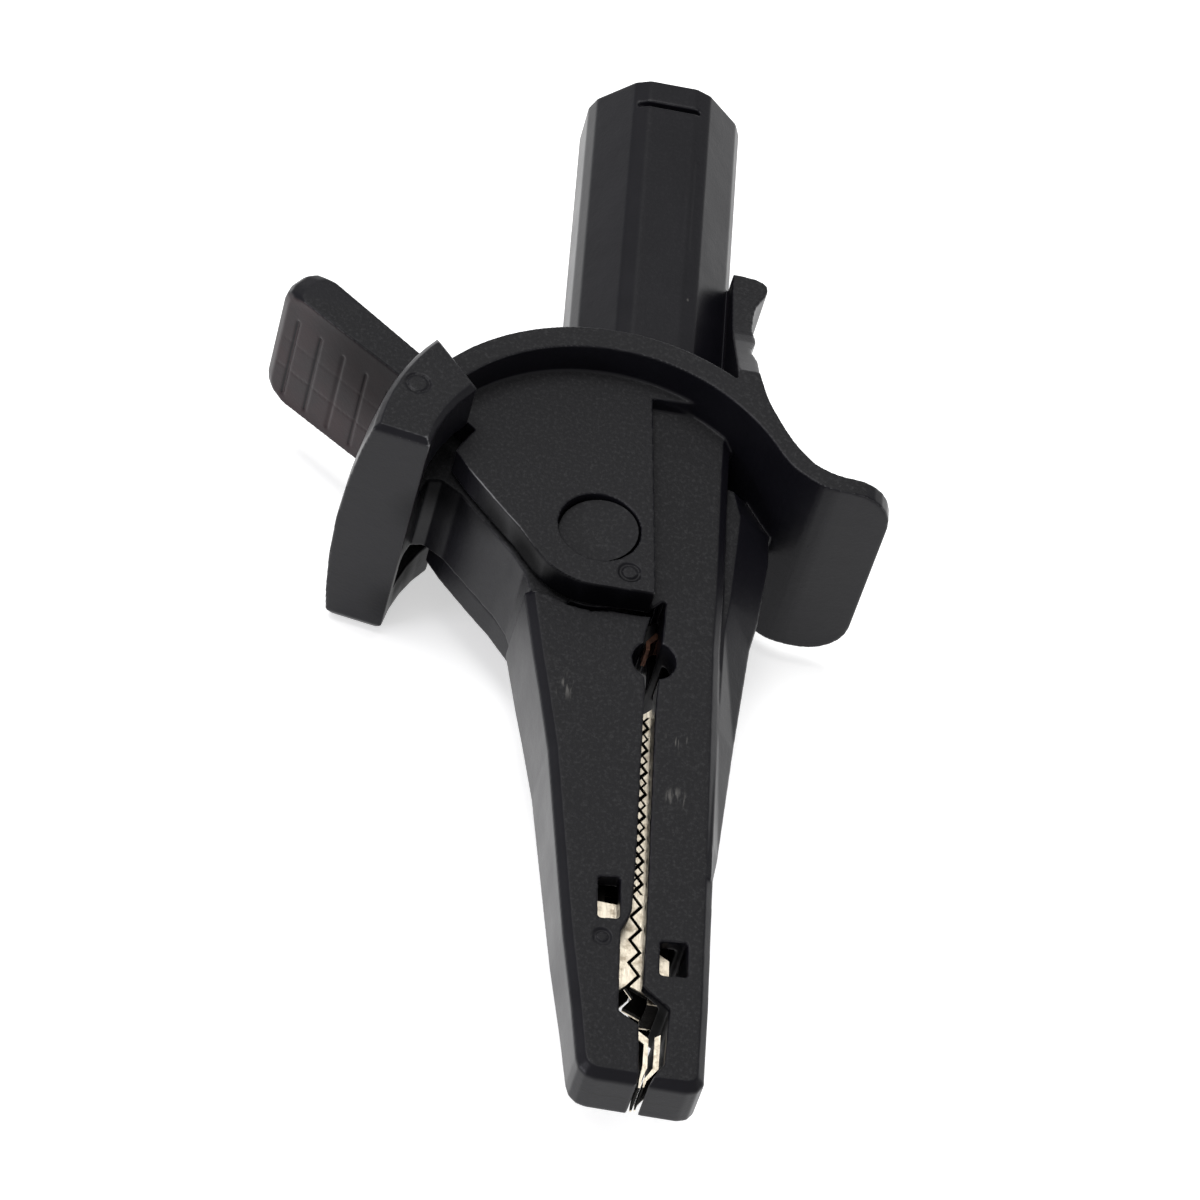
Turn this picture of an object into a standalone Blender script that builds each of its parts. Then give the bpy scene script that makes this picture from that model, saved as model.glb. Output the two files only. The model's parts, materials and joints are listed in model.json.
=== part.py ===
"""Insulated alligator test clip with a 4 mm safety socket barrel.

Every mesh is drawn in millimetres around the hinge axis (x across, y towards
the socket, z out of the flat face) and scaled to metres when it is made.
"""
import bpy
import math
from mathutils import Vector

MM = 0.001

# Place of the hinge axis and mid-plane in the world.
PIVOT = (1.685, -0.9, 11.8)

# Guard ring, concentric with the hinge.
RING_IN = 15.1
RING_OUT = 17.06
RING_HALF = 9.66
RING_END = 143.5

# Cheeks of the fixed shell that straddle the moving hub.
CHEEK_TOP = 6.8
CHEEK_IN = 4.3
HUB_HALF = 4.0
HUB_R = 5.4

# Octagonal socket barrel.
BARREL_X = 3.25
BARREL_FLAT = 12.43
BARREL_END = 47.2
BARREL_BORE = 4.1
CONTACT_OUT = 2.7
CONTACT_IN = 2.0

# Jaw faces slope from the ring to the tip.
TIP_Y = -45.4
TIP_HALF = 2.5
FACE_SLOPE = 0.0505
CHAMFER = 0.65

# Thumb lever, along a radial line of the moving shell.
LEVER_ANGLE = 141.5
LEVER_HALF = 6.0
LEVER_END = 32.0

# Guard block on the lever, a box that slides over the ring.
BLOCK_HALF = 11.8
BLOCK_R = 18.1
BLOCK_BULGE = 1.1

# Teeth of the metal jaws.
TOOTH_PITCH = 2.0
TOOTH_HIGH = 0.38
TOOTH_GAP = 0.16

# Torsion spring.
SPRING_R = 2.9
SPRING_WIRE = 0.4
SPRING_TURNS = 3

for old in list(bpy.data.objects):
    bpy.data.objects.remove(old, do_unlink=True)


def face_half(y):
    """Half thickness of a jaw at distance y along the clip."""
    return TIP_HALF + FACE_SLOPE * (y - TIP_Y)


def polar(r, degrees, cx=0.0, cy=0.0):
    a = math.radians(degrees)
    return (cx + r * math.cos(a), cy + r * math.sin(a))


def arc(r, a0, a1, steps, cx=0.0, cy=0.0):
    return [polar(r, a0 + (a1 - a0) * i / steps, cx, cy) for i in range(steps + 1)]


def new_object(name, verts, faces):
    mesh = bpy.data.meshes.new(name)
    mesh.from_pydata([(x * MM, y * MM, z * MM) for x, y, z in verts], [], faces)
    mesh.update()
    obj = bpy.data.objects.new(name, mesh)
    bpy.context.scene.collection.objects.link(obj)
    obj.location = [c * MM for c in PIVOT]
    return obj


def signed_area(points):
    total = 0.0
    for i, (x0, y0) in enumerate(points):
        x1, y1 = points[(i + 1) % len(points)]
        total += x0 * y1 - x1 * y0
    return total / 2


def loft(name, rings):
    """Closed body through rings of 3-D points, all with the same count."""
    count = len(rings[0])
    verts = [p for ring in rings for p in ring]
    faces = [tuple(reversed(range(count)))]
    for k in range(len(rings) - 1):
        low = k * count
        for i in range(count):
            j = (i + 1) % count
            faces.append((low + i, low + j, low + count + j, low + count + i))
    top = (len(rings) - 1) * count
    faces.append(tuple(range(top, top + count)))
    return new_object(name, verts, faces)


def levels(name, stack):
    """Loft through flat outlines given as (z, outline) pairs, z rising."""
    turn = signed_area(stack[0][1]) < 0
    rings = []
    for z, outline in stack:
        points = list(reversed(outline)) if turn else outline
        rings.append([(x, y, z) for x, y in points])
    return loft(name, rings)


def prism(name, outline, z0, z1):
    return levels(name, [(z0, outline), (z1, outline)])


def slab(name, outline, axis, n0, n1):
    """Prism whose outline lies across the x or y axis: (y, z) or (x, z)."""
    turn = signed_area(outline) < 0
    points = list(reversed(outline)) if turn else list(outline)
    if axis == "x":
        rings = [[(n, u, v) for u, v in points] for n in (n0, n1)]
    else:
        rings = [[(u, n, v) for u, v in points] for n in (n1, n0)]
    return loft(name, rings)


def cylinder(name, r, z0, z1, cx=0.0, cy=0.0, steps=32):
    return prism(name, arc(r, 0, 360, steps, cx, cy)[:-1], z0, z1)


def rod_y(name, r, y0, y1, cx, cz=0.0, steps=32):
    """Round rod along the clip."""
    return slab(name, arc(r, 0, 360, steps, cx, cz)[:-1], "y", y0, y1)


def inset(outline, amounts):
    """Move each edge of an anticlockwise outline inwards by its own amount."""
    count = len(outline)
    moved = []
    for i in range(count):
        x0, y0 = outline[i]
        x1, y1 = outline[(i + 1) % count]
        length = math.hypot(x1 - x0, y1 - y0)
        nx, ny = -(y1 - y0) / length, (x1 - x0) / length
        d = amounts[i]
        moved.append((x0 + nx * d, y0 + ny * d, (x1 - x0) / length, (y1 - y0) / length))
    result = []
    for i in range(count):
        px, py, ux, uy = moved[i - 1]
        qx, qy, vx, vy = moved[i]
        cross = ux * vy - uy * vx
        if abs(cross) < 1e-4:
            result.append((qx, qy))
            continue
        t = ((qx - px) * vy - (qy - py) * vx) / cross
        result.append((px + ux * t, py + uy * t))
    return result


def combine(target, other, operation):
    """Boolean of two bodies, kept in the first one."""
    mod = target.modifiers.new("join", "BOOLEAN")
    mod.object = other
    mod.operation = operation
    mod.solver = "EXACT"
    bpy.context.view_layer.update()
    graph = bpy.context.evaluated_depsgraph_get()
    mesh = bpy.data.meshes.new_from_object(target.evaluated_get(graph))
    target.modifiers.remove(mod)
    target.data = mesh
    bpy.data.objects.remove(other, do_unlink=True)
    return target


def join(target, *others):
    for other in others:
        combine(target, other, "UNION")
    return target


def cut(target, *others):
    for other in others:
        combine(target, other, "DIFFERENCE")
    return target


def both(builder, name, z0, z1, *rest):
    """The same body on the front and on the back of the mid-plane."""
    return builder(name, *rest, z0, z1), builder(name, *rest, -z1, -z0)


def paint(obj, name, color, metal, rough):
    mat = bpy.data.materials.new(name)
    mat.use_nodes = True
    shader = mat.node_tree.nodes["Principled BSDF"]
    shader.inputs["Base Color"].default_value = (*color, 1.0)
    shader.inputs["Metallic"].default_value = metal
    shader.inputs["Roughness"].default_value = rough
    obj.data.materials.clear()
    obj.data.materials.append(mat)


def finish(obj, name, color, metal, rough):
    obj.name = name
    obj.data.name = name
    paint(obj, name + "_material", color, metal, rough)
    for poly in obj.data.polygons:
        poly.use_smooth = False
    return obj


BLACK = (0.018, 0.018, 0.02)
NICKEL = (0.72, 0.68, 0.6)
STEEL = (0.55, 0.55, 0.56)
COPPER = (0.72, 0.38, 0.22)
BRASS = (0.75, 0.6, 0.32)

# Mating edges of the two jaws, from the hinge to the tip.
LEFT_EDGE = [(4.7, -5.8), (4.35, -7.7), (4.35, -8.3), (4.75, -12.5), (4.75, -14.0), (5.1, -27.9),
             (5.1, -31.4), (4.86, -32.3), (4.41, -33.3), (4.57, -37.1), (4.72, -39.9),
             (6.24, -40.8), (6.55, TIP_Y)]
RIGHT_EDGE = [(5.75, -4.0), (5.7, -8.0), (5.62, -14.4), (6.05, -27.7), (6.21, -32.9), (6.27, -37.6),
              (6.8, -38.1), (8.31, -39.2), (8.25, -43.7), (7.5, -44.9), (7.25, TIP_Y)]
CABLE_HOLE = (5.22, -9.6, 1.65)


def jaw_body(name, outline, soft_edges):
    """Jaw with sloping faces; the listed edges carry the outer chamfer."""
    amounts = [CHAMFER if i in soft_edges else 0.0 for i in range(len(outline))]
    top = inset(outline, amounts)
    rings = [
        [(x, y, -face_half(y)) for x, y in top],
        [(x, y, -face_half(y) + CHAMFER) for x, y in outline],
        [(x, y, face_half(y) - CHAMFER) for x, y in outline],
        [(x, y, face_half(y)) for x, y in top],
    ]
    return loft(name, rings)


def cheek_outline():
    """Cheek plate from the ring down to the round end under the hinge."""
    points = arc(RING_IN + 0.6, 60.0, RING_END, 14)
    points += arc(12.35, RING_END + 0.5, 156.6, 3)
    points += [(-10.12, 3.22), (-7.62, 0.38), (-5.98, -1.38)]
    points += arc(5.6, 218, 274, 6)
    points += [(3.36, -5.45), (4.58, -5.45), (3.28, 13.4)]
    return points


def octagon(flat):
    h = flat / 2
    s = h * math.tan(math.radians(22.5))
    raw = [(h, -s), (h, s), (s, h), (-s, h), (-h, s), (-h, -s), (-s, -h), (s, -h)]
    points = []
    for i, (x, z) in enumerate(raw):
        for j in (i - 1, (i + 1) % 8):
            ox, oz = raw[j]
            length = math.hypot(ox - x, oz - z)
            points.append((BARREL_X + x + (ox - x) / length * 0.7, z + (oz - z) / length * 0.7))
    return points


def rounded(points, steps):
    """Smooth curve through all the points."""
    result = []
    last = len(points) - 1
    for i in range(last):
        near = [points[max(i - 1, 0)], points[i], points[i + 1], points[min(i + 2, last)]]
        for k in range(steps):
            t = k / steps
            spot = []
            for a, b, c, d in zip(*near):
                cubic = (3 * b - a - 3 * c + d) * t ** 3
                spot.append(0.5 * (2 * b + (c - a) * t + (2 * a - 5 * b + 4 * c - d) * t ** 2 + cubic))
            result.append(tuple(spot))
    return result + [points[-1]]


def ring_and_wing():
    """Guard ring that flares into the wing and the finger rest, drawn as one profile."""
    outer = [(9.2, 29.2), (11.0, 29.1), (12.0, 28.5), (11.85, 27.3), (11.2, 26.0), (10.9, 24.3)]
    outer += [(10.85, 22.6), (11.05, 21.2), (10.6, 19.6), (10.6, 18.8), (10.95, 17.3), (10.95, 15.5)]
    outer += [(11.3, 14.2), (11.78, 12.79), (12.71, 11.01), (13.79, 9.26), (15.09, 7.78)]
    outer += [(16.0, 7.15), (17.45, 6.64), (19.0, 6.59), (22.0, 6.5)]
    inner = [(22.0, 5.0), (19.04, 5.05), (17.51, 5.08), (16.73, 5.2), (15.95, 5.42), (14.38, 6.34)]
    inner += [(13.58, 7.04), (12.76, 8.04)]
    outer = rounded(outer, 2)
    inner = rounded(inner, 2)[:-1]
    inner += arc(RING_IN, 32.2, RING_END, 36)
    back = list(reversed(arc(RING_OUT, 57, RING_END, 30)))
    return outer + inner + back + [(9.2, 15.5)]


def fixed_shell():
    shell = prism("fixed", ring_and_wing(), -RING_HALF, RING_HALF)
    # Finger rest: its width flares from the narrow end to the ring.
    flare = rounded([(15.2, 9.7), (18.6, 7.9), (22.0, 6.2), (25.7, 5.4), (28.5, 5.0), (30.0, 5.0)], 3)
    for side in (1, -1):
        profile = [(y, z * side) for y, z in flare] + [(30.0, 12.0 * side), (15.2, 12.0 * side)]
        cut(shell, slab("flare", profile, "x", 9.0, 13.0))
        # Rounded far corners of the wing.
        corner = arc(3.4, 0, 90, 6, 22.0 - 3.4, RING_HALF - 3.4)
        corner = [(x, z * side) for x, z in corner]
        corner += [(18.6, 12.0 * side), (24.0, 12.0 * side), (24.0, 6.2 * side)]
        cut(shell, slab("corner", corner, "y", 0.0, 7.5))
    join(shell, slab("barrel", octagon(BARREL_FLAT), "y", 13.4, BARREL_END))
    jaw = [(3.2, 15.3), (4.5, -5.35)] + RIGHT_EDGE
    jaw += [(10.1, TIP_Y), (10.85, -45.15), (11.3, -44.5), (10.56 + CHAMFER, -38.1)]
    jaw += [(10.25 + CHAMFER, -27.7), (9.5 + CHAMFER, -7.1), (9.5 + CHAMFER, -2.3)]
    jaw += [(9.2 + CHAMFER, 9.4), (9.2 + CHAMFER, 12.4)]
    last = len(jaw)
    soft = set(range(1 + len(RIGHT_EDGE), last - 1))
    join(shell, jaw_body("jaw", jaw, soft))
    # Swelling of the outer flank beside the hinge.
    wide = [(8.5, 9.2), (12.2, 9.2), (13.9, 6.4), (13.97, 3.7), (13.4, -2.1), (12.9, -4.7)]
    wide += [(12.1, -14.3), (11.4, -24.5), (11.0, -27.7), (8.6, -27.7)]
    slim = [(8.5, 9.2), (10.6, 8.6), (11.2, 6.4), (11.1, 3.7), (10.8, -2.1), (10.5, -4.7)]
    slim += [(10.5, -14.3), (10.6, -24.5), (10.7, -27.7), (8.6, -27.7)]
    join(shell, levels("flank", [(-3.3, slim), (-1.2, wide), (1.2, wide), (3.3, slim)]))
    plates = both(lambda name, outline, a, b: prism(name, outline, a, b), "cheek", CHEEK_IN - 0.3,
                  CHEEK_TOP, cheek_outline())
    join(shell, *plates)
    # Room for the moving hub and for the web that sweeps under the cheeks.
    sweep = [(0.2, 5.6), (-5.4, 17.9), (-14.5, 15.5), (-20.0, 8.0), (-20.0, -9.0), (-4.4, -9.0)]
    sweep += [(-1.0, -6.6), (5.0, -6.6), (5.0, 0.0)]
    cut(shell, cylinder("hub_room", HUB_R + 0.5, -CHEEK_IN, CHEEK_IN))
    cut(shell, prism("sweep", sweep, -CHEEK_IN, CHEEK_IN))
    # Channel for the metal parts, from the socket to the jaw.
    channel = [(2.0, 20.5), (2.0, 17.0), (4.6, 12.6), (6.3, 8.0), (6.3, -10.0), (5.0, -12.0), (5.0, -38.6)]
    channel += [(8.8, -38.6), (8.4, -30.0), (8.6, -10.0), (9.7, -8.0), (9.7, 8.0), (6.9, 14.0), (4.6, 18.0)]
    channel += [(4.6, 20.5)]
    cut(shell, prism("channel", channel, -2.0, 2.0))
    jumper_room = [(4.6, -3.9), (6.7, -3.9), (6.7, -7.8), (4.6, -7.8)]
    cut(shell, prism("jumper_room", jumper_room, -1.8, 1.8))
    cut(shell, rod_y("bore", BARREL_BORE, 24.0, 50.0, BARREL_X))
    cut(shell, rod_y("seat", CONTACT_OUT + 0.3, 19.0, 25.0, BARREL_X))
    cut(shell, prism("window", [(7.3, -33.7), (9.3, -33.5), (9.45, -36.3), (7.45, -36.5)], -6.0, 6.0))
    cx, cy, r = CABLE_HOLE
    cut(shell, cylinder("cable_hole", r, -8.0, 8.0, cx, cy, 24))
    # Hinge holes with a counterbore for each cap.
    cut(shell, cylinder("pin_hole", 1.7, -9.0, 9.0, steps=24))
    cut(shell, *both(lambda name, a, b: cylinder(name, 3.15, a, b), "cap_room", 5.35, 9.0))
    return finish(shell, "fixed_shell", BLACK, 0.0, 0.5)


def past(a, b, extra):
    """Point beyond b on the straight line from a."""
    length = math.hypot(b[0] - a[0], b[1] - a[1])
    k = 1.0 + extra / length
    return (a[0] + (b[0] - a[0]) * k, a[1] + (b[1] - a[1]) * k)


def block_outline(z):
    """Outline of the block at one height; both end walls stay flat."""
    swell = BLOCK_BULGE * (1.0 - (z / BLOCK_HALF) ** 2)
    outer = arc(BLOCK_R + swell, 140.7, 174.7, 8)
    inner = [polar(13.8 - 0.85 * i / 4, 176.0 - 30.5 * i / 4) for i in range(5)]
    outer[0] = past(inner[-1], polar(BLOCK_R, 140.7), swell)
    outer[-1] = past(inner[0], polar(BLOCK_R, 174.7), swell)
    return outer + inner


def guard_block():
    """Box round the end of the ring, open towards it and closed on the jaw side."""
    heights = (-BLOCK_HALF, -11.45, -10.8, -8.4, -4.6, 0.0, 4.6, 8.4, 11.3, BLOCK_HALF)
    stack = [(z, block_outline(z)) for z in heights]
    # The back edge is rounded more than the front edge.
    for level, amount in ((0, 0.95), (1, 0.35), (-1, 0.4)):
        outline = inset(block_outline(heights[level]), [amount] * 14)
        stack[level] = (heights[level], outline)
    block = levels("block", stack)
    for side in (1, -1):
        z0, z1 = sorted((side * (HUB_HALF - 0.1), side * 7.1))
        low = arc(11.0, 131.0, 171.3, 7) + list(reversed(arc(15.3, 131.0, 171.3, 7)))
        cut(block, prism("cheek_room", low, z0, z1))
        z0, z1 = sorted((side * (HUB_HALF - 0.15), side * (RING_HALF + 0.3)))
        rail = arc(RING_IN - 0.3, 130.0, 171.5, 8) + list(reversed(arc(RING_OUT + 0.3, 130.0, 171.5, 8)))
        cut(block, prism("rail_room", rail, z0, z1))
    return block


def lever_point(t, n):
    a = math.radians(LEVER_ANGLE)
    return (t * math.cos(a) + n * math.sin(a), t * math.sin(a) - n * math.cos(a))


def lever():
    """Thumb lever: a plate with rounded far corners and a rounded end."""
    stack = []
    corner = 1.6
    for s in (-1.0, -0.93, -0.84, -0.72, 0.0, 0.72, 0.84, 0.93, 1.0):
        z = LEVER_HALF * s
        over = max(0.0, abs(z) - (LEVER_HALF - corner))
        back = corner - math.sqrt(max(0.0, corner ** 2 - over ** 2))
        end = LEVER_END - back
        outline = [lever_point(17.7, 2.2), lever_point(17.7, -0.6), lever_point(end - 1.0, -1.25)]
        outline += [lever_point(end - 0.3, -0.9), lever_point(end, -0.1), lever_point(end, 1.2)]
        outline += [lever_point(end - 0.4, 1.9), lever_point(end - 1.2, 2.2)]
        stack.append((z, outline))
    return levels("lever", stack)


def moving_shell():
    shell = cylinder("moving", HUB_R, -HUB_HALF, HUB_HALF, steps=48)
    web = [lever_point(4.0, 2.1), lever_point(18.6, 2.1), lever_point(18.2, -2.0), polar(16.0, 160.0)]
    web += [(-12.95, 3.85), (-11.9, 4.05), (-10.3, 3.0), (-7.75, 0.2), (-6.1, -1.6), (-5.0, -3.2)]
    web += [(-4.3, -5.2), (-2.0, -7.0), (0.0, 0.0)]
    join(shell, prism("web", web, -HUB_HALF, HUB_HALF))
    left = [(-4.85, -5.1), (-3.75, -10.5), (-3.05, -13.6), (-2.0, -18.6), (-0.35, -29.7), (0.3, -34.0)]
    left += [(1.35, -39.8), (2.0, -43.9), (2.25, -44.65), (2.8, -45.2), (3.5, TIP_Y)]
    outline = left + list(reversed(LEFT_EDGE)) + arc(6.15, -72.0, -120.0, 3)
    join(shell, jaw_body("jaw", outline, set(range(len(left)))))
    join(shell, join(guard_block(), lever()))
    # Spring room inside the hub, open to the fixed side.
    cut(shell, cylinder("spring_room", 4.4, -2.0, 2.0))
    side = [(0.0, 0.0), (6.5, -5.4), (8.0, 0.0), (8.0, 8.0), (-1.0, 8.0)]
    cut(shell, prism("spring_side", side, -2.0, 2.0))
    pocket = [(0.6, -11.5), (8.0, -11.5), (8.0, -38.0), (6.0, -39.2), (3.4, -39.2), (2.3, -30.0)]
    cut(shell, prism("pocket", pocket, -2.0, 2.0))
    beak = [(3.4, -39.8), (3.4, -39.0), (6.0, -39.0), (9.0, -41.0), (9.0, -50.0), (7.0, -50.0)]
    beak += [(6.6, -41.6)]
    cut(shell, prism("beak", beak, -2.0, 2.0))
    cut(shell, prism("window", [(2.45, -29.1), (4.05, -28.9), (4.25, -32.3), (2.65, -32.5)], -6.0, 6.0))
    cx, cy, r = CABLE_HOLE
    cut(shell, cylinder("cable_hole", r, -8.0, 8.0, cx, cy, 24))
    cut(shell, cylinder("pin_hole", 1.7, -9.0, 9.0, steps=24))
    return finish(shell, "moving_shell", BLACK, 0.0, 0.5)


def mating_x(y):
    """Line along which the two rows of teeth meet."""
    return 5.17 + (y + 14.4) * -0.0275


def tooth_row(y0, y1, side):
    """Zigzag edge, the same for both jaws apart from a small gap."""
    points = []
    steps = int(round((y0 - y1) / (TOOTH_PITCH / 2)))
    for i in range(steps + 1):
        y = y0 - i * TOOTH_PITCH / 2
        x = mating_x(y) + (TOOTH_HIGH if i % 2 else -TOOTH_HIGH)
        points.append((x + side * TOOTH_GAP, y))
    return points


def moving_jaw():
    """Metal jaw channel of the moving side: teeth, grip opening and beak."""
    edge = tooth_row(-13.0, -37.0, -1)
    edge += [(4.3, -37.9), (4.3, -39.2), (7.15, -41.2), (7.2, -43.6), (6.88, -44.6), (6.82, -45.3)]
    back = [(6.66, -45.3), (6.7, -44.6), (6.85, -43.5), (6.85, -41.7), (4.2, -39.75), (3.75, -39.1)]
    back += [(2.7, -30.0), (1.2, -12.0), (3.6, -12.0)]
    plate = prism("moving_jaw", edge + back, -1.65, 1.65)
    core = [(3.6, -10.0), (9.0, -10.0), (9.0, -38.6), (4.4, -38.6), (3.4, -30.0), (2.2, -13.0)]
    cut(plate, prism("core", core, -1.15, 1.15))
    # Latch openings, one in each flange.
    latch = [(2.0, -27.4), (2.25, -30.1), (4.4, -30.2), (4.4, -27.3)]
    cut(plate, *both(lambda name, a, b: prism(name, latch, a, b), "latch", 1.1, 2.0))
    return finish(plate, "moving_jaw_plate", NICKEL, 1.0, 0.3)


def fixed_jaw():
    """Metal jaw channel of the fixed side with a tail that carries the rivet."""
    edge = tooth_row(-13.0, -37.0, 1)
    edge += [(6.9, -37.6), (6.9, -38.25)]
    tail = [(8.4, -38.25), (8.1, -30.0), (8.25, -10.5), (9.3, -8.0), (9.3, 2.6), (8.7, 2.6), (8.7, -7.6)]
    tail += [(7.2, -11.0), (5.9, -12.0)]
    plate = prism("fixed_jaw", edge + tail, -1.65, 1.65)
    core = [(3.0, -12.6), (7.2, -12.6), (7.4, -38.0), (3.0, -39.0)]
    cut(plate, prism("core", core, -1.15, 1.15))
    latch = [(7.3, -31.8), (9.0, -31.8), (9.0, -35.0), (8.2, -34.3), (7.3, -33.75)]
    cut(plate, *both(lambda name, a, b: prism(name, latch, a, b), "latch", 1.1, 2.0))
    cut(plate, slab("rivet_hole", arc(0.65, 0, 360, 12, 0.6, 0.0)[:-1], "x", 8.0, 10.0))
    return finish(plate, "fixed_jaw_plate", NICKEL, 1.0, 0.3)


def fixed_beak():
    """Separate tip strip of the fixed side that closes on the beak."""
    strip = [(7.6, -41.0), (8.0, -40.7), (8.0, -43.6), (7.2, -44.75), (7.08, -45.2), (6.98, -45.2)]
    strip += [(6.98, -44.7), (7.6, -43.6)]
    plate = prism("beak", strip, -1.65, 1.65)
    return finish(plate, "fixed_tip_plate", NICKEL, 1.0, 0.3)


def contact_tube():
    """Socket contact: open tube with a flat tail for the link strap."""
    tube = rod_y("contact", CONTACT_OUT, 19.4, 44.9, BARREL_X)
    cut(tube, rod_y("bore", CONTACT_IN, 23.0, 50.0, BARREL_X))
    return finish(tube, "socket_contact", BRASS, 1.0, 0.28)


def link_strap():
    """Bent strip from the socket contact to the rivet on the fixed jaw."""
    left = [(2.4, 19.1), (2.4, 17.3), (5.0, 12.9), (7.1, 8.0), (7.1, -0.9)]
    right = [(7.7, -0.9), (7.7, 8.2), (5.6, 13.3), (3.3, 17.5), (4.1, 18.5), (4.1, 19.1)]
    strap = prism("strap", left + right, -1.3, 1.3)
    cut(strap, slab("rivet_hole", arc(0.65, 0, 360, 12, 0.6, 0.0)[:-1], "x", 6.0, 8.3))
    return finish(strap, "link_strap", COPPER, 1.0, 0.35)


def rivet():
    body = slab("rivet", arc(0.45, 0, 360, 12, 0.6, 0.0)[:-1], "x", 6.6, 9.55)
    return finish(body, "link_rivet", BRASS, 1.0, 0.3)


def jumper():
    """Flexible jumper between the jaws, seen at the top of the slit."""
    path = [(5.05, -6.2), (5.35, -6.2), (5.35, -5.6), (5.9, -5.0), (7.6, -4.9), (7.6, -4.4), (5.7, -4.5)]
    path += [(5.05, -5.4)]
    braid = prism("jumper", path, -1.0, 1.0)
    return finish(braid, "jumper_braid", COPPER, 1.0, 0.45)


def hinge_pin():
    pin = cylinder("pin", 1.4, -5.0, 5.0, steps=24)
    return finish(pin, "hinge_pin", STEEL, 1.0, 0.3)


def pivot_cap(name, side):
    """Insulating cap over the pin; its outer face is slightly tilted."""
    ring = arc(2.95, 0, 360, 32)[:-1]
    inner = [(x, y, side * 5.55) for x, y in ring]
    outer = [(x, y, side * (6.32 + 0.15 * x)) for x, y in ring]
    cap = loft(name, [inner, outer] if side > 0 else [outer, inner])
    return finish(cap, name, BLACK, 0.0, 0.5)


def spring_path():
    """Centre line of the coil with a straight leg at each end."""
    points = []
    a0 = 300.0
    total = 360.0 * SPRING_TURNS + 60.0
    steps = 16 * SPRING_TURNS
    half = 1.5
    for i in range(steps + 1):
        a = a0 + total * i / steps
        z = -half + 2 * half * i / steps
        points.append(Vector((*polar(SPRING_R, a), z)))
    first = Vector((math.sin(math.radians(a0)), -math.cos(math.radians(a0)), 0.0))
    last_angle = math.radians(a0 + total)
    last = Vector((-math.sin(last_angle), math.cos(last_angle), 0.0))
    points.insert(0, points[0] + first * 1.6)
    points.append(points[-1] + last * 4.2)
    return points


def sweep_tube(name, path, radius, sides=8):
    rings = []
    for i, p in enumerate(path):
        ahead = path[min(i + 1, len(path) - 1)]
        behind = path[max(i - 1, 0)]
        tangent = (ahead - behind).normalized()
        side = tangent.cross(Vector((0, 0, 1))).normalized()
        up = side.cross(tangent).normalized()
        ring = []
        for k in range(sides):
            a = 2 * math.pi * k / sides
            v = p + side * (radius * math.sin(a)) + up * (radius * math.cos(a))
            ring.append((v.x, v.y, v.z))
        rings.append(ring)
    return loft(name, rings)


def torsion_spring():
    coil = sweep_tube("spring", spring_path(), SPRING_WIRE)
    return finish(coil, "torsion_spring", STEEL, 1.0, 0.3)


fixed_shell()
moving_shell()
moving_jaw()
fixed_jaw()
fixed_beak()
contact_tube()
link_strap()
rivet()
jumper()
hinge_pin()
pivot_cap("pivot_cap_front", 1)
pivot_cap("pivot_cap_back", -1)
torsion_spring()
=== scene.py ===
"""Looks of the insulated alligator test clip.

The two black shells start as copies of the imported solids. Fine details are cut into
them, then a voxel remesh and a little smoothing round every edge like moulded plastic.
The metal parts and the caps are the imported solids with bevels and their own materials.
"""

import bpy
import json
import math
import numpy as np
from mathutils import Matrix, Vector


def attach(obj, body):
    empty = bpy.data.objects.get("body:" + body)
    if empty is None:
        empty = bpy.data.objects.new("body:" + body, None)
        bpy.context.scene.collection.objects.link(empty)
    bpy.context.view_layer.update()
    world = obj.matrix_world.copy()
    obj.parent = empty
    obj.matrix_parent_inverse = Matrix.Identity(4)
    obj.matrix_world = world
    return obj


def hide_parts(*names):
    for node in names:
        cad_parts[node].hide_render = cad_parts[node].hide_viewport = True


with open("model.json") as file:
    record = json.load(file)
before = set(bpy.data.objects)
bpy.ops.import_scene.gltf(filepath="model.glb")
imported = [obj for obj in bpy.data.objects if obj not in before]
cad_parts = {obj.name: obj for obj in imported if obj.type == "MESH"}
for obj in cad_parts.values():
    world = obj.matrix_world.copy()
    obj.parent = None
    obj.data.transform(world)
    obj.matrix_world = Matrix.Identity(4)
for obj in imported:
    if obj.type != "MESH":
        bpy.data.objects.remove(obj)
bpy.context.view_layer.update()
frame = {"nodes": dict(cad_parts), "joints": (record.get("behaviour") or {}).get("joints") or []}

MM = 0.001
# Lengths below are in millimetres, and places are measured from the hinge.
VOXEL = 0.11
SHELL_FACES = 190000
SMOOTH_ROUNDS = 4
SMOOTH_STEP = 0.6

LEVER_ANGLE = 141.5
GRIP_START = 20.4
GRIP_PITCH = 2.3
GRIP_WIDTH = 0.28
GRIP_LINE_HALF = 0.1

# Zigzag between the two rows of teeth: where it starts, and a point and the lean of its
# middle line. A second zigzag is scored across it.
TEETH_TOP = -13.0
TEETH_MIDDLE = (5.17, -14.4, 0.0275)
TOOTH_HIGH = 0.38
SCORED_TEETH = 17
SCORE_HALF = 0.1
SCORE_FLOOR = 1.32
FLANGE_CLEAR = 2.2
# Depth from the mid-plane within which the plated jaws get painted shade.
FLANGE_SHADE_DEPTH = 1.45

# Ejector marks: centre x, centre y, radius and height of the face.
CHEEK_MARK = (2.51, -3.81, 0.72, 6.8)
BLOCK_MARK = (-15.2, 6.5, 0.85, 11.8)
JAW_MARK = (3.08, -34.1, 0.55, 3.07)

# Label panel on the barrel's front flat: corners low left and high right, floor height.
PANEL_CUTS = [((0.5, 44.4), (5.5, 44.85), 5.5), ((5.4, 29.7), (5.65, 39.3), 5.98),
              ((4.65, 30.5), (4.85, 39.0), 6.06)]
PANEL_CLEAR = 7.0

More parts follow.
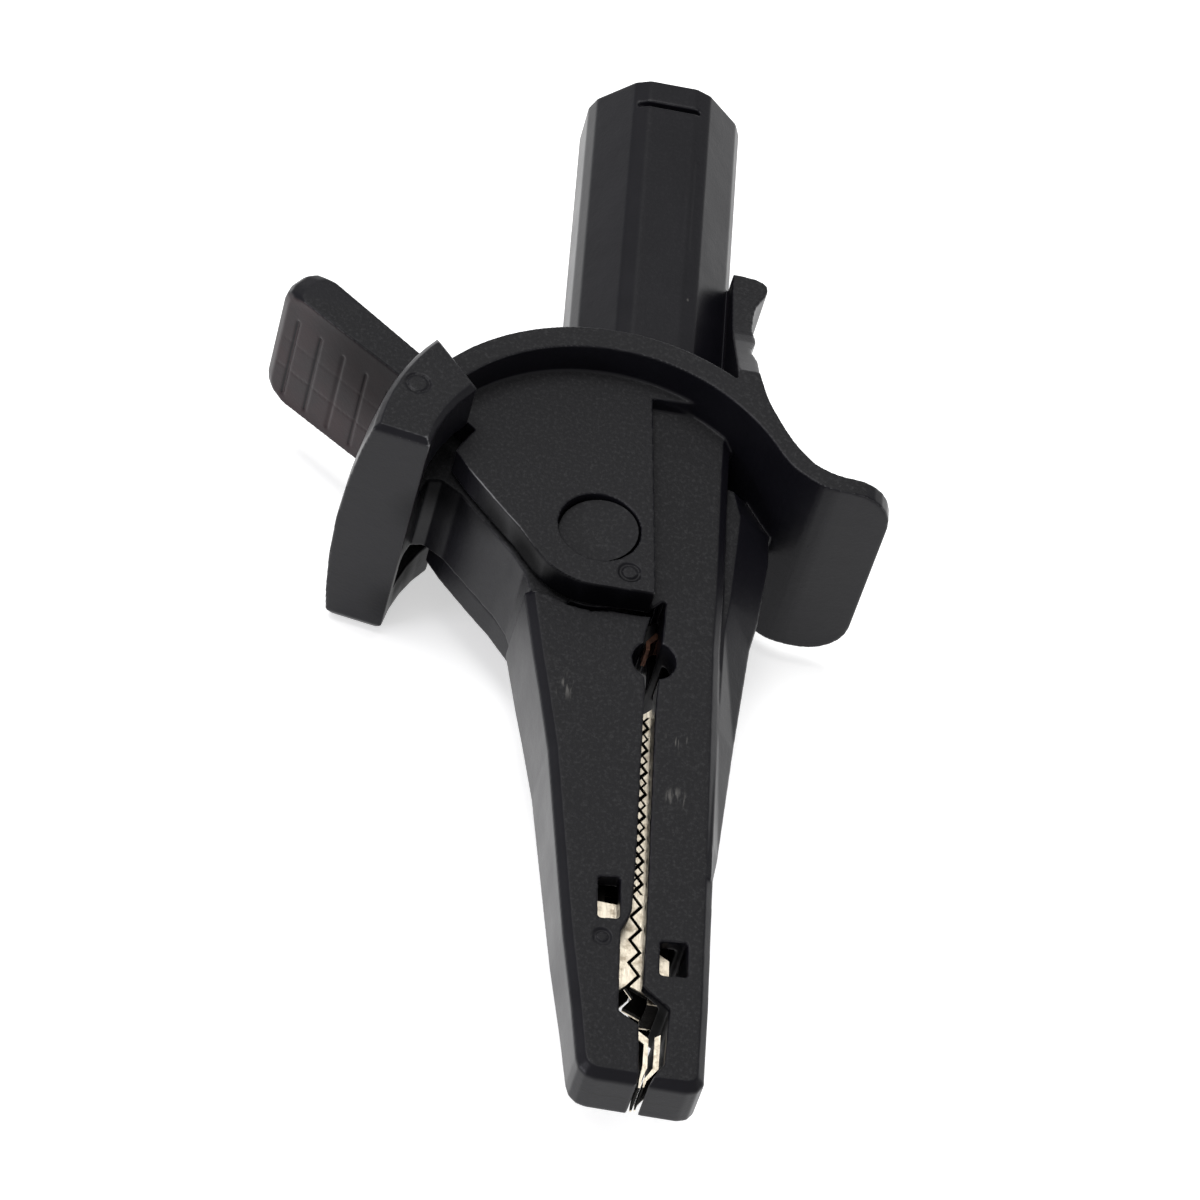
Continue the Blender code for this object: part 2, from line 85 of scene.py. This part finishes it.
# Scuffed places: x, y, z, radius, strength and direction of the streaks in degrees.
SCUFFS = [(-1.2, -13.2, 4.0, 1.5, 0.4, 60.0), (7.4, -16.6, 4.0, 1.3, 0.75, 20.0),
          (7.6, -21.4, 3.7, 1.1, 0.5, -35.0), (5.66, 24.65, 6.2, 0.3, 1.0, 0.0)]
# Painted highlights on edges where light catches them: x, y, z and radius.
PAINTED_HIGHLIGHTS = [(-8.6, 1.5, 6.8, 3.4), (-6.0, -1.4, 6.8, 2.6), (-14.9, 1.4, 11.6, 2.6)]
# Painted shade on walls and recesses where shadow falls: x, y, z, radius and strength.
PAINTED_SHADE_FIXED = [(7.4, -38.9, 0.0, 5.5, 0.9), (-7.6, 0.2, 4.2, 3.6, 0.8),
                (-5.0, -2.6, 4.6, 4.6, 0.9), (-2.4, -4.9, 5.0, 4.2, 0.9),
                (0.6, -5.6, 5.0, 4.2, 0.9), (3.4, -5.5, 5.0, 3.6, 0.9),
                (8.4, -35.0, 0.0, 3.2, 0.9)]
PAINTED_SHADE_MOVING = [(-12.2, 3.4, -8.0, 4.6, 0.95), (-11.6, 3.4, 3.6, 5.0, 0.85),
                 (-9.0, 1.2, 5.6, 4.0, 0.8), (-17.8, 12.9, 4.2, 8.5, 0.6),
                 (3.4, -30.7, 0.0, 3.0, 0.9)]
# Painted shade on the plated jaws where they sit in dark openings: x, y, z and radius.
PAINTED_SHADE_METAL_SPOTS = [(4.3, -37.9, 1.65, 1.5), (3.6, -12.4, 1.65, 1.2)]

SMOOTH_DARK = (0.0030, 0.0029, 0.0044, 1.0)
SMOOTH_PALE = (0.0056, 0.0053, 0.0076, 1.0)
MATT = (0.0125, 0.0124, 0.0135, 1.0)
SPECK = (0.045, 0.045, 0.0465, 1.0)
WARM = (0.024, 0.008, 0.0095, 1.0)
EDGE_PALE = (0.11, 0.108, 0.112, 1.0)
# Colour of the painted highlights on edges.
PAINTED_HIGHLIGHT_PALE = (0.2, 0.2, 0.205, 1.0)
SEAM_BLACK = (0.002, 0.002, 0.002, 1.0)
# Near-black colour painted where shadow falls.
PAINTED_SHADE_BLACK = (0.001, 0.001, 0.0012, 1.0)
SCUFF_PALE = (0.16, 0.155, 0.145, 1.0)
# Colour of the painted shade on metal between the shells.
FLANGE_SHADE_BLACK = (0.012, 0.011, 0.01, 1.0)
WHITE = (1.0, 1.0, 1.0, 1.0)

nodes = frame["nodes"]
PIVOT = Vector(frame["joints"][0]["pos_m"])


def at(x, y, z):
    """Scene point for millimetres measured from the hinge."""
    return PIVOT + Vector((x, y, z)) * MM


# ---------------------------------------------------------------- solids


def linked(name, data):
    """New object with this data, linked into the scene."""
    obj = bpy.data.objects.new(name, data)
    bpy.context.scene.collection.objects.link(obj)
    return obj


def mesh_object(name, points, faces):
    mesh = bpy.data.meshes.new(name)
    mesh.from_pydata(points, [], faces)
    mesh.update()
    return linked(name, mesh)


def loft(name, rings):
    """Closed body through rings of millimetre points."""
    count = len(rings[0])
    points = [at(*p) for ring in rings for p in ring]
    faces = [tuple(reversed(range(count)))]
    for k in range(len(rings) - 1):
        low = k * count
        for i in range(count):
            j = (i + 1) % count
            faces.append((low + i, low + j, low + count + j, low + count + i))
    top = (len(rings) - 1) * count
    faces.append(tuple(range(top, top + count)))
    return mesh_object(name, points, faces)


def circle(cx, cy, r, steps=40):
    points = []
    for i in range(steps):
        a = 2 * math.pi * i / steps
        points.append((cx + r * math.cos(a), cy + r * math.sin(a)))
    return points


def prism(name, outline, z0, z1):
    """Upright prism over an anticlockwise outline."""
    return loft(name, [[(x, y, z) for x, y in outline] for z in (z0, z1)])


def carve(obj, cutter):
    """Cuts one closed body out of another and removes the cutter."""
    mod = obj.modifiers.new("carve", "BOOLEAN")
    mod.object = cutter
    mod.operation = "DIFFERENCE"
    mod.solver = "EXACT"
    bake(obj)
    bpy.data.objects.remove(cutter, do_unlink=True)


def bake(obj):
    """Applies the modifiers of an object to its mesh."""
    bpy.context.view_layer.update()
    graph = bpy.context.evaluated_depsgraph_get()
    mesh = bpy.data.meshes.new_from_object(obj.evaluated_get(graph))
    obj.modifiers.clear()
    obj.data = mesh


def ring_groove(obj, mark, side, deep=0.22, wide=0.26):
    """Round groove of an ejector pin in the front face (side 1) or the back face (-1)."""
    cx, cy, r, height = mark
    z = side * height
    low, high = (z - deep, z + 1.0) if z > 0 else (z - 1.0, z + deep)
    cutter = prism("groove", circle(cx, cy, r + wide / 2), low, high)
    core = prism("core", circle(cx, cy, r - wide / 2), low - 1.0, high + 1.0)
    carve(cutter, core)
    carve(obj, cutter)


def lever_point(t, n):
    """Point t along the lever and n across it; the grip face has negative n."""
    a = math.radians(LEVER_ANGLE)
    return (t * math.cos(a) + n * math.sin(a), t * math.sin(a) - n * math.cos(a))


def box_cut(obj, corners, z0, z1):
    """Cuts an upright prism whose corners may run either way round."""
    area = 0.0
    for i, (x0, y0) in enumerate(corners):
        x1, y1 = corners[(i + 1) % len(corners)]
        area += x0 * y1 - x1 * y0
    outline = corners if area > 0 else list(reversed(corners))
    carve(obj, prism("cut", outline, z0, z1))


# ---------------------------------------------------------------- moulding


def soften(mesh, rounds):
    """Averages each vertex with its neighbours and returns how far edges moved in."""
    count = len(mesh.vertices)
    co = np.empty(count * 3)
    mesh.vertices.foreach_get("co", co)
    co = co.reshape(-1, 3)
    normal = np.empty(count * 3)
    mesh.vertices.foreach_get("normal", normal)
    normal = normal.reshape(-1, 3)
    edges = np.empty(len(mesh.edges) * 2, dtype=np.int64)
    mesh.edges.foreach_get("vertices", edges)
    edges = edges.reshape(-1, 2)
    a = np.concatenate([edges[:, 0], edges[:, 1]])
    b = np.concatenate([edges[:, 1], edges[:, 0]])
    degree = np.bincount(a, minlength=count)
    start = co.copy()
    for _ in range(rounds):
        mean = np.stack([np.bincount(a, co[b, k], count) for k in range(3)], axis=1)
        mean /= degree[:, None]
        co = co + (mean - co) * SMOOTH_STEP
    mesh.vertices.foreach_set("co", co.ravel())
    return -((co - start) * normal).sum(axis=1)


def store(mesh, name, values):
    layer = mesh.attributes.new(name, "FLOAT", "POINT")
    layer.data.foreach_set("value", values.astype(np.float32))


def mould(obj):
    """Voxel remesh with rounded edges; the edge attribute holds how sharp each spot was."""
    mod = obj.modifiers.new("voxels", "REMESH")
    mod.mode = "VOXEL"
    mod.voxel_size = VOXEL * MM
    bake(obj)
    sharp = soften(obj.data, SMOOTH_ROUNDS)
    store(obj.data, "edge", np.clip(sharp / (VOXEL * MM * 0.5), -1.0, 1.0))
    faces = len(obj.data.polygons) * 2
    if faces > SHELL_FACES:
        thin = obj.modifiers.new("thin", "DECIMATE")
        thin.ratio = SHELL_FACES / faces
        bake(obj)
    for poly in obj.data.polygons:
        poly.use_smooth = True
    return obj


def fixed_housing():
    obj = linked("fixed_housing", nodes["fixed_shell"].data.copy())
    for (x0, y0), (x1, y1), floor_z in PANEL_CUTS:
        box_cut(obj, [(x0, y0), (x1, y0), (x1, y1), (x0, y1)], floor_z, PANEL_CLEAR)
    for side in (1, -1):
        ring_groove(obj, CHEEK_MARK, side)
    return mould(obj)


def moving_housing():
    obj = linked("moving_housing", nodes["moving_shell"].data.copy())
    for side in (1, -1):
        ring_groove(obj, BLOCK_MARK, side)
        ring_groove(obj, JAW_MARK, side)
    # Grip of the lever: shallow grooves across it and two lines along it.
    for k in range(5):
        t = GRIP_START + k * GRIP_PITCH
        floor_n = -0.62 - 0.1 * k
        corners = [lever_point(t, -2.0), lever_point(t + GRIP_WIDTH, -2.0)]
        corners += [lever_point(t + GRIP_WIDTH, floor_n), lever_point(t, floor_n)]
        box_cut(obj, corners, -5.2, 3.6)
    for z in (-2.2, 0.9):
        corners = [lever_point(19.6, -2.0), lever_point(30.8, -2.0)]
        corners += [lever_point(30.8, -1.08), lever_point(19.6, -0.6)]
        box_cut(obj, corners, z - GRIP_LINE_HALF, z + GRIP_LINE_HALF)
    return mould(obj)


def tooth_line(step, offset):
    """Point of the zigzag that mirrors the edge between the two rows of teeth."""
    y = TEETH_TOP - step
    x0, y0, lean = TEETH_MIDDLE
    x = x0 - (y - y0) * lean
    return (x + (-TOOTH_HIGH if step % 2 else TOOTH_HIGH) + offset, y)


def toothed_jaw(node, name):
    """Metal jaw with the second row of tooth edges scored into both flanges."""
    obj = linked(name, nodes[node].data.copy())
    left = [tooth_line(i, -SCORE_HALF) for i in range(SCORED_TEETH)]
    right = [tooth_line(i, SCORE_HALF) for i in range(SCORED_TEETH)]
    for low, high in ((SCORE_FLOOR, FLANGE_CLEAR), (-FLANGE_CLEAR, -SCORE_FLOOR)):
        box_cut(obj, left + list(reversed(right)), low, high)
    bevel(obj, 0.04)
    return obj


# ---------------------------------------------------------------- materials


class Nodes:
    """Small helper that adds and links shader nodes."""

    def __init__(self, name):
        self.material = bpy.data.materials.new(name)
        self.material.use_nodes = True
        self.tree = self.material.node_tree
        self.shader = self.tree.nodes["Principled BSDF"]
        self.coords = self.add("ShaderNodeTexCoord").outputs["Object"]

    def add(self, kind, **settings):
        node = self.tree.nodes.new(kind)
        for key, value in settings.items():
            setattr(node, key, value)
        return node

    def link(self, source, target):
        self.tree.links.new(source, target)

    def put(self, socket, value):
        if isinstance(value, (int, float, tuple)):
            socket.default_value = value
        else:
            self.link(value, socket)

    def noise(self, scale, detail, rough, vector=None):
        node = self.add("ShaderNodeTexNoise")
        node.inputs["Scale"].default_value = scale
        node.inputs["Detail"].default_value = detail
        node.inputs["Roughness"].default_value = rough
        self.link(vector or self.coords, node.inputs["Vector"])
        return node.outputs["Fac"]

    def math(self, operation, a, b=0.0, c=0.0):
        node = self.add("ShaderNodeMath", operation=operation)
        for socket, value in zip(node.inputs, (a, b, c)):
            self.put(socket, value)
        return node.outputs[0]

    def span(self, value, low, high, to_low=0.0, to_high=1.0):
        node = self.add("ShaderNodeMapRange", interpolation_type="SMOOTHSTEP")
        for key, item in zip(("Value", "From Min", "From Max", "To Min", "To Max"),
                             (value, low, high, to_low, to_high)):
            self.put(node.inputs[key], item)
        return node.outputs["Result"]

    def mix(self, factor, a, b):
        node = self.add("ShaderNodeMix", data_type="RGBA")
        self.put(node.inputs["Factor"], factor)
        self.put(node.inputs[6], a)
        self.put(node.inputs[7], b)
        return node.outputs[2]

    def blend(self, factor, a, b):
        node = self.add("ShaderNodeMix", data_type="FLOAT")
        self.put(node.inputs["Factor"], factor)
        self.put(node.inputs[2], a)
        self.put(node.inputs[3], b)
        return node.outputs[0]

    def split(self, vector):
        node = self.add("ShaderNodeSeparateXYZ")
        self.link(vector, node.inputs[0])
        return node.outputs

    def spot(self, x, y, z, radius):
        """Soft round mask around a place, 1 at its centre."""
        offset = self.add("ShaderNodeVectorMath", operation="SUBTRACT")
        self.link(self.coords, offset.inputs[0])
        offset.inputs[1].default_value = tuple(at(x, y, z))
        size = self.add("ShaderNodeVectorMath", operation="LENGTH")
        self.link(offset.outputs[0], size.inputs[0])
        reach = radius * MM
        return self.span(size.outputs["Value"], reach, reach * 0.2)

    def bump(self, height, distance, strength=1.0, normal=None):
        node = self.add("ShaderNodeBump")
        node.inputs["Distance"].default_value = distance
        self.put(node.inputs["Strength"], strength)
        self.link(height, node.inputs["Height"])
        if normal is not None:
            self.link(normal, node.inputs["Normal"])
        return node.outputs["Normal"]


def face_masks(n, place):
    """Masks of the faces that look straight forward or back, and of those with grain."""
    across = n.split(n.add("ShaderNodeNewGeometry").outputs["Normal"])
    facing = n.span(n.math("ABSOLUTE", across["Z"]), 0.9, 0.985)
    barrel = n.span(place["Y"], PIVOT.y + 17.4 * MM, PIVOT.y + 18.4 * MM)
    plate = n.span(place["X"], PIVOT.x + 9.0 * MM, PIVOT.x + 9.3 * MM)
    barrel = n.math("MULTIPLY", barrel, n.math("SUBTRACT", 1.0, plate))
    plain = n.math("SUBTRACT", 1.0, n.math("MULTIPLY", barrel, 0.75))
    return facing, n.math("MULTIPLY", facing, plain)


def seam_mask(n, place, depth, facing):
    """Thin line of the mould parting, round the flanks below the hinge."""
    seam = n.span(depth, 0.1 * MM, 0.04 * MM)
    seam = n.math("MULTIPLY", seam, n.math("SUBTRACT", 1.0, facing))
    return n.math("MULTIPLY", seam, n.span(place["Y"], PIVOT.y - 2.0 * MM, PIVOT.y - 5.0 * MM))


def painted_shade_mask(n, painted_shades, depth, facing):
    """Painted shade: walls near the listed places, and the floors of the pockets between the
    faces, where shadow falls.
    """
    painted_shade = 0.0
    for x, y, z, radius, strength in painted_shades:
        spot = n.math("MULTIPLY", n.spot(x, y, z, radius), strength)
        painted_shade = n.math("MAXIMUM", painted_shade, spot)
    painted_shade = n.math("MULTIPLY", painted_shade, n.math("SUBTRACT", 1.0, facing))
    pocket = n.math("MULTIPLY", facing, n.span(depth, 2.35 * MM, 2.15 * MM, 0.0, 0.9))
    return n.math("MAXIMUM", painted_shade, pocket)


def scuff_mask(n, x, y, z, radius, strength, turn):
    """Patch of short streaks."""
    lines = n.add("ShaderNodeMapping")
    n.link(n.coords, lines.inputs["Vector"])
    lines.inputs["Rotation"].default_value = (0.0, 0.0, math.radians(turn))
    lines.inputs["Scale"].default_value = (1.0, 0.16, 1.0)
    streak = n.span(n.noise(2600, 2.0, 0.5, lines.outputs["Vector"]), 0.55, 0.68)
    mark = n.math("MULTIPLY", n.spot(x, y, z, radius), streak)
    return n.math("MULTIPLY", mark, strength)


def plastic(name, painted_shades, red=None):
    """Black moulded plastic: eroded grain on flat faces, satin on the rest, pale worn edges,
    painted highlights on some edges and painted shade in shadowed places.
    """
    n = Nodes(name)
    place = n.split(n.coords)
    facing, grain = face_masks(n, place)
    depth = n.math("ABSOLUTE", n.math("SUBTRACT", place["Z"], PIVOT.z))
    fine = n.noise(4200, 4.0, 0.65)
    cloud = n.noise(260, 4.0, 0.6)
    speck = n.span(n.noise(3600, 3.0, 0.7), 0.46, 0.74)
    edge = n.add("ShaderNodeAttribute", attribute_name="edge").outputs["Fac"]
    broken = n.math("MULTIPLY_ADD", n.span(n.noise(900, 4.0, 0.65), 0.38, 0.62), 0.6, 0.25)
    wear = n.math("MULTIPLY", n.span(edge, 0.45, 0.95), broken)
    smooth = n.mix(cloud, SMOOTH_DARK, SMOOTH_PALE)
    matt = n.mix(n.math("MULTIPLY", speck, 0.4), MATT, SPECK)
    colour = n.mix(grain, smooth, matt)
    if red is not None:
        tint = n.math("MULTIPLY", red(n), n.span(cloud, 0.3, 0.75, 0.35, 1.0))
        colour = n.mix(n.math("MULTIPLY", tint, 0.6), colour, WARM)
    colour = n.mix(wear, colour, EDGE_PALE)
    # Painted highlight: edges near the listed places turn pale as if they caught the light.
    for highlight_place in PAINTED_HIGHLIGHTS:
        painted_highlight = n.math("MULTIPLY", n.span(edge, 0.25, 0.7), n.spot(*highlight_place))
        colour = n.mix(n.math("MULTIPLY", painted_highlight, 0.85), colour, PAINTED_HIGHLIGHT_PALE)
    seam = seam_mask(n, place, depth, facing)
    colour = n.mix(n.math("MULTIPLY", seam, 0.8), colour, SEAM_BLACK)
    painted_shade = painted_shade_mask(n, painted_shades, depth, facing)
    # Painted shade: walls and pocket floors turn near-black where shadow falls.
    colour = n.mix(painted_shade, colour, PAINTED_SHADE_BLACK)
    for scuff in SCUFFS:
        colour = n.mix(scuff_mask(n, *scuff), colour, SCUFF_PALE)
    n.put(n.shader.inputs["Base Color"], colour)
    satin = n.math("MULTIPLY_ADD", cloud, 0.14, 0.28)
    rough = n.blend(grain, satin, n.math("MULTIPLY_ADD", fine, 0.16, 0.52))
    n.put(n.shader.inputs["Roughness"], n.math("MULTIPLY_ADD", wear, 0.12, rough))
    n.shader.inputs["IOR"].default_value = 1.3
    # The painted shade also takes away most of the specular level there.
    gloss = n.math("MULTIPLY", n.blend(grain, 0.42, 0.235), n.math("SUBTRACT", 1.0, painted_shade))
    n.put(n.shader.inputs["Specular IOR Level"], gloss)
    pitted = n.bump(fine, 0.00009, n.math("MULTIPLY_ADD", grain, 0.75, 0.1))
    n.put(n.shader.inputs["Normal"], n.bump(cloud, 0.0003, 0.12, pitted))
    return n.material


def metal(name, light, dark, rough, shade_depth=0.0, shaded_spots=()):
    """Plated or bare metal with drawn streaks and tarnish in patches.

    Painted shade: it is dark where it lies deeper between the shells, within the given depth of
    the mid-plane, and at the listed places.
    """
    n = Nodes(name)
    stretch = n.add("ShaderNodeMapping")
    n.link(n.coords, stretch.inputs["Vector"])
    stretch.inputs["Scale"].default_value = (1.0, 0.12, 1.0)
    streak = n.noise(6000, 3.0, 0.6, stretch.outputs["Vector"])
    patch = n.span(n.noise(1500, 4.0, 0.6), 0.42, 0.72)
    colour = n.mix(patch, (*light, 1.0), (*dark, 1.0))
    base = n.math("MULTIPLY_ADD", streak, 0.16, rough)
    if shade_depth:
        depth = n.math("ABSOLUTE", n.math("SUBTRACT", n.split(n.coords)["Z"], PIVOT.z))
        metal_shade = n.span(depth, (shade_depth + 0.1) * MM, shade_depth * MM)
        for shaded_place in shaded_spots:
            metal_shade = n.math("MAXIMUM", metal_shade, n.spot(*shaded_place))
        # Painted shade on the metal inside the shells and in the openings.
        colour = n.mix(metal_shade, colour, FLANGE_SHADE_BLACK)
        base = n.math("MULTIPLY_ADD", metal_shade, 0.35, base)
    n.put(n.shader.inputs["Base Color"], colour)
    n.shader.inputs["Metallic"].default_value = 1.0
    n.put(n.shader.inputs["Roughness"], n.math("MULTIPLY_ADD", patch, 0.15, base))
    n.put(n.shader.inputs["Normal"], n.bump(streak, 0.00003, 0.5))
    return n.material


def lever_tint(n):
    """Mask of the lever's outer face, where the plastic looks warmer."""
    a = math.radians(LEVER_ANGLE)
    along = n.add("ShaderNodeVectorMath", operation="DOT_PRODUCT")
    offset = n.add("ShaderNodeVectorMath", operation="SUBTRACT")
    n.link(n.coords, offset.inputs[0])
    offset.inputs[1].default_value = tuple(PIVOT)
    n.link(offset.outputs[0], along.inputs[0])
    along.inputs[1].default_value = (math.cos(a), math.sin(a), 0.0)
    face = n.add("ShaderNodeVectorMath", operation="DOT_PRODUCT")
    n.link(n.add("ShaderNodeNewGeometry").outputs["Normal"], face.inputs[0])
    face.inputs[1].default_value = (-math.sin(a), math.cos(a), 0.0)
    outer = n.span(face.outputs["Value"], 0.7, 0.95)
    return n.math("MULTIPLY", outer, n.span(along.outputs["Value"], 18.8 * MM, 19.6 * MM))


def wear_material(obj, material):
    obj.data.materials.clear()
    obj.data.materials.append(material)


def bevel(obj, width, segments=2):
    mod = obj.modifiers.new("edges", "BEVEL")
    mod.width = width * MM
    mod.segments = segments
    mod.limit_method = "ANGLE"
    mod.angle_limit = math.radians(40)


def visual_piece(obj, material, body, node):
    """Gives a new piece its material and ties it to the solid it stands for."""
    wear_material(obj, material)
    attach(obj, body)
    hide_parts(node)


def build_object():
    black = plastic("black_plastic", PAINTED_SHADE_FIXED)
    black_lever = plastic("black_plastic_lever", PAINTED_SHADE_MOVING, lever_tint)
    plated = metal("nickel_wear_and_painted_shade", (0.72, 0.65, 0.53), (0.34, 0.29, 0.22), 0.27, FLANGE_SHADE_DEPTH, PAINTED_SHADE_METAL_SPOTS)
    brass = metal("contact_brass", (0.8, 0.62, 0.32), (0.6, 0.43, 0.2), 0.2)
    # The copper parts are painted much darker than bare copper, as painted shade for the dark
    # recess they sit in.
    copper = metal("copper_with_painted_shade", (0.15, 0.075, 0.05), (0.08, 0.042, 0.032), 0.45)
    steel = metal("spring_steel", (0.6, 0.6, 0.62), (0.35, 0.34, 0.34), 0.25)
    visual_piece(fixed_housing(), black, "fixed_side", "fixed_shell")
    visual_piece(moving_housing(), black_lever, "moving_side", "moving_shell")
    for side in ("fixed", "moving"):
        teeth = toothed_jaw(side + "_jaw_plate", side + "_jaw_teeth")
        visual_piece(teeth, plated, side + "_side", side + "_jaw_plate")
    looks = {"fixed_tip_plate": plated, "socket_contact": brass, "link_rivet": brass,
             "link_strap": copper, "jumper_braid": copper, "hinge_pin": steel,
             "torsion_spring": steel, "pivot_cap_front": black, "pivot_cap_back": black}
    for node, material in looks.items():
        wear_material(nodes[node], material)
    bevel(nodes["fixed_tip_plate"], 0.05)
    for node in ("pivot_cap_front", "pivot_cap_back"):
        bevel(nodes[node], 0.12, 3)


# ---------------------------------------------------------------- stage


def floor():
    size = 1.5
    points = [(-size, -size, 0.0), (size, -size, 0.0), (size, size, 0.0), (-size, size, 0.0)]
    obj = mesh_object("floor", points, [(0, 1, 2, 3)])
    n = Nodes("pale_floor")
    tone = n.mix(n.noise(30, 2.0, 0.5), (0.86, 0.86, 0.86, 1.0), (0.9, 0.9, 0.9, 1.0))
    n.put(n.shader.inputs["Base Color"], tone)
    n.shader.inputs["Roughness"].default_value = 0.8
    n.shader.inputs["Emission Color"].default_value = WHITE
    n.shader.inputs["Emission Strength"].default_value = 0.5
    wear_material(obj, n.material)


def lamp(name, place, target, size, power, colour=(1.0, 1.0, 1.0)):
    light = bpy.data.lights.new(name, "AREA")
    light.size = size
    light.energy = power
    light.color = colour
    obj = linked(name, light)
    obj.location = place
    obj.rotation_euler = (Vector(place) - Vector(target)).to_track_quat("Z", "Y").to_euler()


def studio():
    world = bpy.data.worlds.new("studio")
    bpy.context.scene.world = world
    world.use_nodes = True
    background = world.node_tree.nodes["Background"]
    background.inputs["Color"].default_value = WHITE
    background.inputs["Strength"].default_value = 0.6
    lamp("overhead", (-0.12, 0.12, 0.6), PIVOT, 0.35, 3.2)
    lamp("left_fill", (-0.55, -0.3, 0.16), PIVOT, 0.22, 1.3, (0.93, 0.92, 1.0))
    bpy.context.scene.view_settings.view_transform = "Standard"


def camera():
    data = bpy.data.cameras.new("camera")
    data.lens = 159.0
    data.sensor_width = 36.0
    data.clip_start = 0.01
    data.clip_end = 20.0
    obj = linked("camera", data)
    obj.location = at(-44.492, -250.199, 308.909)
    obj.rotation_euler = [math.radians(a) for a in (37.912, -11.2885, 3.644)]
    bpy.context.scene.camera = obj


build_object()
floor()
studio()
camera()
